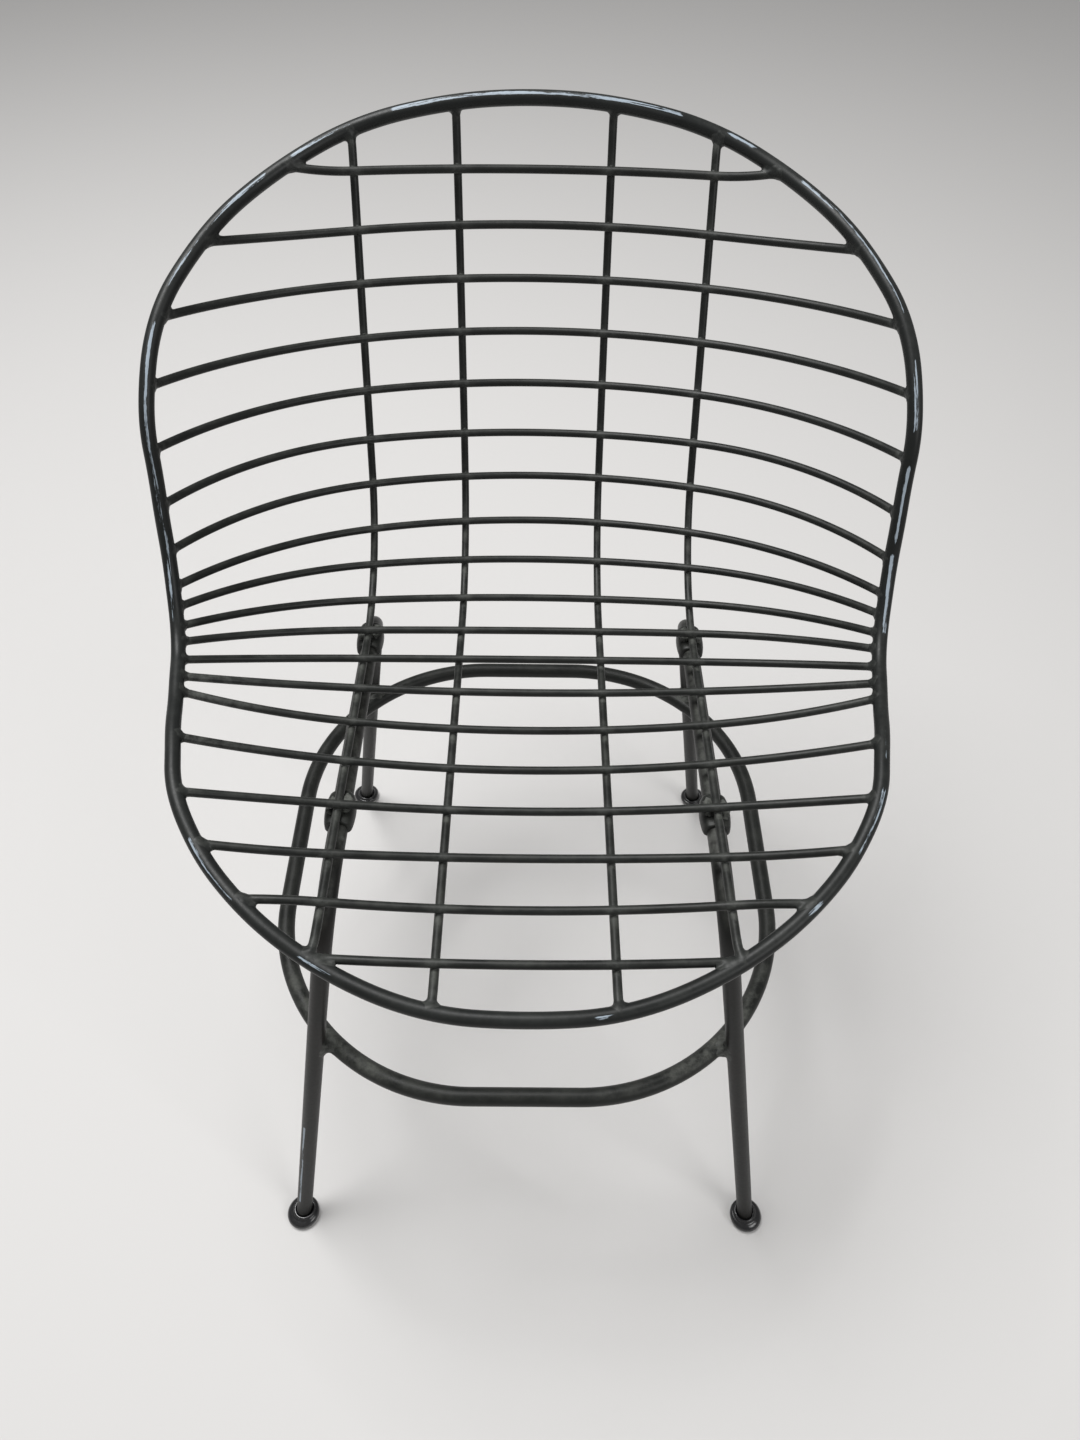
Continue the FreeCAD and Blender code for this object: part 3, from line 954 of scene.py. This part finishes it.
long_lines = {
    "outer": sunk(steps(cut_at_rim(outer_path()), long_step)),
    "inner": sunk(steps(cut_at_rim(inner_path()), long_step)),
}
crossings, crossing_joints = [], []
for k, line_points in enumerate(cross_lines):
    for path, shares in ((inner_path, wire_row_shares), (outer_path, wire_outer_shares)):
        if k < len(shares):
            long_points = path()
            spot = at_share(long_points, shares[k]).lerp(at_share(path(wire_lift), shares[k]), 0.5)
            crossings.append(spot)
            for flip in (False, True):
                long_side = mirrored(long_points) if flip else long_points
                bars = [(line_points, wire_size), (long_side, wire_size)]
                crossing_joints.append((across(spot) if flip else spot, bars, CROSSING_WELD))


# A rim weld's bar starts this far up the wire, and its middle lies a little further
weld_start = 1.5
weld_middle = 4.5


def rim_joint(points):
    """The weld of a wire's first end at the rim."""
    marks = measured(points)
    short = [p for p, mark in zip(points, marks) if mark > weld_start]
    spot = next(p for p, mark in zip(points, marks) if mark > weld_middle)
    return spot, [(short, wire_size), (rim_full, rim_size)], RIM_WELD


rim_joints = []
for points in cross_lines:
    rim_joints += [rim_joint(points), rim_joint(points[::-1])]
for points in long_lines.values():
    for run in (points, points[::-1]):
        rim_joints += [rim_joint(run), rim_joint(mirrored(run))]
weld_spots = [joint[0] for joint in rim_joints + crossing_joints]

# The rim's pale streaks are scratches and a painted highlight along its crest
ride_for(tube("rim", rim_full[:-1], rim_size, RIM_PAINT, closed=True, sides=thick_sides,
              bare_and_glint=rim_wear_and_glint, dust=steady(0.15)), "rim_paint", "seat_rim")

ring_full = steps(both_sides(ring_path()), tube_step)
ride_for(tube("ring", ring_full[:-1], tube_size, FRAME_PAINT, closed=True, sides=thick_sides,
              dust=ring_dust), "frame_paint", "ring_stretcher")

# The cross wires whose ends are rubbed most, counted from the top
rubbed_wires = (13, 14, 15)
for k, points in enumerate(cross_lines):
    number = "%02d" % (k + 1)
    rub_rule = end_rub(0.9, 60.0) if k + 1 in rubbed_wires else weld_rub
    ride_for(tube("wire_" + number, steps(points, cross_step), wire_size, WIRE_PAINT,
                  rub=rub_rule, dust=steady(0.3)),
             "wire_paint", "cross_wire_" + number)

corners = frame_corners(0)
ring_joints = []
for side, flip in (("right", False), ("left", True)):
    for place, points in long_lines.items():
        line_points = mirrored(points) if flip else points
        ride_for(tube("long_%s_%s" % (place, side), steps(line_points, long_step), wire_size, WIRE_PAINT,
                      rub=weld_rub, dust=sill_dust),
                 "wire_paint", "long_wire_%s_%s" % (place, side))
    floor = glide_floor + tube_radius * math.sin(frame_lean)
    points = rounded(frame_corners(floor), side_bend_radius)
    if flip:
        points = mirrored(points)
    points = steps(points, tube_step)
    ride_for(tube("frame_" + side, points, tube_size, LEG_PAINT, sides=thick_sides,
                  rub=rail_rub, dust=rail_dust, bare_and_glint=leg_scratch), "frame_paint", "side_frame_" + side)
    for foot, top in ((corners[0], corners[1]), (corners[3], corners[2])):
        leg = foot.lerp(top, ring_height / top.z)
        if flip:
            leg = across(leg)
        near = min(ring_full, key=lambda p: (p - leg).length_squared)
        bars = [(points, tube_size), (ring_full, tube_size)]
        ring_joints.append((near.lerp(leg, 0.5), bars, RING_WELD))

ride_for(welds("rim_welds", rim_joints, RIM_PAINT, rub=0.25, dust=0.3), "rim_paint")
ride_for(welds("crossing_welds", crossing_joints, WIRE_PAINT, rub=0.45, dust=0.4), "wire_paint")
ride_for(welds("ring_welds", ring_joints, FRAME_PAINT, rub=0.9, dust=1.2), "frame_paint")


# Saddles under the outer long wires

# A saddle's place along the rail from its front end, with shares of its width and height
saddle_stations = ((0.0, 0.7, 0.84), (0.012, 0.8, 0.91), (0.04, 0.86, 0.95), (0.12, 0.915, 0.98),
                   (0.25, 0.965, 0.995), (0.4, 0.995, 1.0), (0.55, 1.0, 1.0), (0.7, 0.975, 1.0),
                   (0.84, 0.92, 0.985), (0.94, 0.85, 0.95), (0.985, 0.77, 0.9), (1.0, 0.66, 0.82))
# How far its flanks reach below the rail's middle, and how square its section is
saddle_skirt = 4.2
saddle_square = 0.7
# How uneven a saddle's top is
saddle_wave = 0.16
# The two weld beads on a saddle: their distance from its middle, half axes, sides and shifts
bead_offset = 5.0
bead_length, bead_width, bead_height = 8.6, 4.6, 2.6
bead_sides = ((1, -1.0), (-1, 1.5))


def saddle_skin(name, seat, along, up, flip, sides=56):
    """A cap folded over the rail, widest behind its middle, with rounded ends."""
    verts, faces = [], []
    for place, wide, high in saddle_stations:
        middle = seat + along * ((place - 0.5) * saddle_length)
        for j in range(sides):
            turn = 2 * math.pi * j / sides
            on_top = turn < math.pi
            x = wide * saddle_width / 2 * power(math.cos(turn), saddle_square)
            z = power(math.sin(turn), saddle_square) * (high * saddle_height if on_top else saddle_skirt)
            p = middle + Vector((x, 0, 0)) + up * z
            if on_top:
                p = p + up * (saddle_wave * noise.noise(p * 0.3))
            verts.append(across(p) if flip else p)
    last = (len(saddle_stations) - 1) * sides
    for i in range(len(saddle_stations) - 1):
        for j in range(sides):
            n = (j + 1) % sides
            faces.append((i * sides + j, i * sides + sides + j, i * sides + sides + n, i * sides + n))
    faces.append(tuple(range(sides)))
    faces.append(tuple(range(last + sides - 1, last - 1, -1)))
    if flip:
        faces = [face[::-1] for face in faces]
    uvs = [(v.x * MM, 0.0) for v in verts]
    return put(name, verts, faces, FRAME_PAINT, uvs, evenly(len(verts), 0.1, 0.2))


saddle_beads = []
for side, flip in (("right", False), ("left", True)):
    for place, y in (("front", front_saddle_y), ("rear", rear_saddle_y)):
        name = "saddle_%s_%s" % (place, side)
        along = heading(-rail_slope)
        up = upright(-rail_slope)
        seat = Vector((rail_x, y, rail_height(y)))
        ride_for(saddle_skin("cap_" + name, seat, along, up, flip), "frame_paint", name)
        for sign, shift in bead_sides:
            middle = seat + up * saddle_height + along * shift + Vector((sign * bead_offset, 0, 0))
            bead = (middle, along * bead_length, Vector((bead_width, 0, 0)), up * bead_height)
            saddle_beads.append(tuple(across(p) for p in bead) if flip else bead)
ride_for(pillows("saddle_welds", saddle_beads, FRAME_PAINT, rings=18, sides=28, roughness=0.32,
                 grain=0.5, rub=1.2, dust=1.6), "frame_paint")


# Glides

# The glide's outline: the belly's and the dome's middle radii, how far they bulge out and up
tread_radius, belly_bulge, belly_height = 10.6, 4.3, 4.2
dome_radius, dome_bulge, dome_height = 10.4, 4.5, 4.6
# The rolled lip's middle radius and height, its own radius, and the throat inside it
lip_radius, lip_height, lip_size = 8.8, 9.9, 1.25
throat_radius, throat_height = 6.6, 9.6
# Between these heights a glide comes to follow its leg's lean
lean_low, lean_high = 3.0, 9.0


def lathe(name, foot, lean, profile, material, sides=64):
    """A turned cap by the radii and heights of its outline, whose upper part follows the leg's lean."""
    verts, faces, uvs = [], [], []
    for radius, height in profile:
        follow = max(0.0, min(1.0, (height - lean_low) / (lean_high - lean_low)))
        middle = foot + lean * (height * follow)
        middle.z = height
        for j in range(sides):
            turn = 2 * math.pi * j / sides
            verts.append(middle + Vector((radius * math.cos(turn), radius * math.sin(turn), 0)))
            uvs.append((j / sides, height * MM))
    for i in range(len(profile) - 1):
        for j in range(sides):
            n = (j + 1) % sides
            faces.append((i * sides + j, i * sides + n, (i + 1) * sides + n, (i + 1) * sides + j))
    faces.append(tuple(range(sides - 1, -1, -1)))
    last = (len(profile) - 1) * sides
    faces.append(tuple(range(last, last + sides)))
    return put(name, verts, faces, material, uvs)


def glide_profile():
    """Flat tread, rounded belly, dome and a rolled lip round the leg."""
    points = [(0.5, 0.0), (tread_radius, 0.0)]
    for i in range(1, 7):
        turn = math.radians(15 * i)
        points.append((tread_radius + belly_bulge * math.sin(turn),
                       belly_height - belly_height * math.cos(turn)))
    for i in range(1, 9):
        turn = math.radians(9 * i)
        points.append((dome_radius + dome_bulge * math.cos(turn),
                       belly_height + dome_height * math.sin(turn)))
    for i in range(8):
        turn = math.radians(-50 + 32 * i)
        points.append((lip_radius + lip_size * math.cos(turn), lip_height + lip_size * math.sin(turn)))
    points.append((throat_radius, throat_height))
    return points


for side, flip in (("right", False), ("left", True)):
    for place, foot, top in (("front", corners[0], corners[1]), ("rear", corners[3], corners[2])):
        lean = (top - foot) / top.z
        if flip:
            foot, lean = across(foot), across(lean)
        name = "glide_%s_%s" % (place, side)
        ride_for(lathe("cap_" + name, foot, lean, glide_profile(), CAP), "glide_plastic", name)


# Camera at the photograph's place

sensor_width = 36.0
focal_pixels = 1012.16
image_height = 1440
camera_data = bpy.data.cameras.new("camera")
camera_data.sensor_width = sensor_width
camera_data.lens = sensor_width * focal_pixels / image_height
camera = bpy.data.objects.new("camera", camera_data)
bpy.context.scene.collection.objects.link(camera)
right = Vector((0.99993, 0.00322, 0.0117))
up = Vector((-0.00993, 0.77033, 0.63757))
ahead = Vector((0.00696, 0.63764, -0.7703))
matrix = Matrix((right, up, -ahead)).transposed().to_4x4()
matrix.translation = Vector((3.05, -537.74, 1047.35)) * MM
camera.matrix_world = matrix
bpy.context.scene.camera = camera


# Floor, lamps and world

floor_reach = 6
floor_corners = [(x * floor_reach, y * floor_reach, 0) for x, y in ((-1, -1), (1, -1), (1, 1), (-1, 1))]
floor_mesh = bpy.data.meshes.new("floor")
floor_mesh.from_pydata(floor_corners, [], [(0, 1, 2, 3)])
floor_object = bpy.data.objects.new("floor", floor_mesh)
bpy.context.scene.collection.objects.link(floor_object)
floor_material = bpy.data.materials.new("floor")
floor_material.use_nodes = True
floor_shader = floor_material.node_tree.nodes["Principled BSDF"]
floor_shader.inputs["Base Color"].default_value = (0.62, 0.61, 0.6, 1)
floor_shader.inputs["Roughness"].default_value = 0.8
floor_mesh.materials.append(floor_material)


def area_lamp(name, place, target, size, watts):
    data = bpy.data.lights.new(name, "AREA")
    data.shape = "RECTANGLE"
    data.size, data.size_y = size
    data.energy = watts
    lamp = bpy.data.objects.new(name, data)
    lamp.location = place
    lamp.rotation_mode = "QUATERNION"
    lamp.rotation_quaternion = (Vector(target) - Vector(place)).to_track_quat("-Z", "Y")
    bpy.context.scene.collection.objects.link(lamp)


area_lamp("key", (-0.9, 0.5, 3.4), (0, -0.1, 0.2), (1.8, 1.2), 118)
area_lamp("fill", (2.4, -2.2, 2.6), (0, 0, 0.3), (1.6, 1.6), 40)
world = bpy.data.worlds.new("world")
world.use_nodes = True
world.node_tree.nodes["Background"].inputs["Color"].default_value = (1, 1, 1, 1)
world.node_tree.nodes["Background"].inputs["Strength"].default_value = 0.3
bpy.context.scene.world = world
bpy.context.scene.view_settings.view_transform = "Standard"
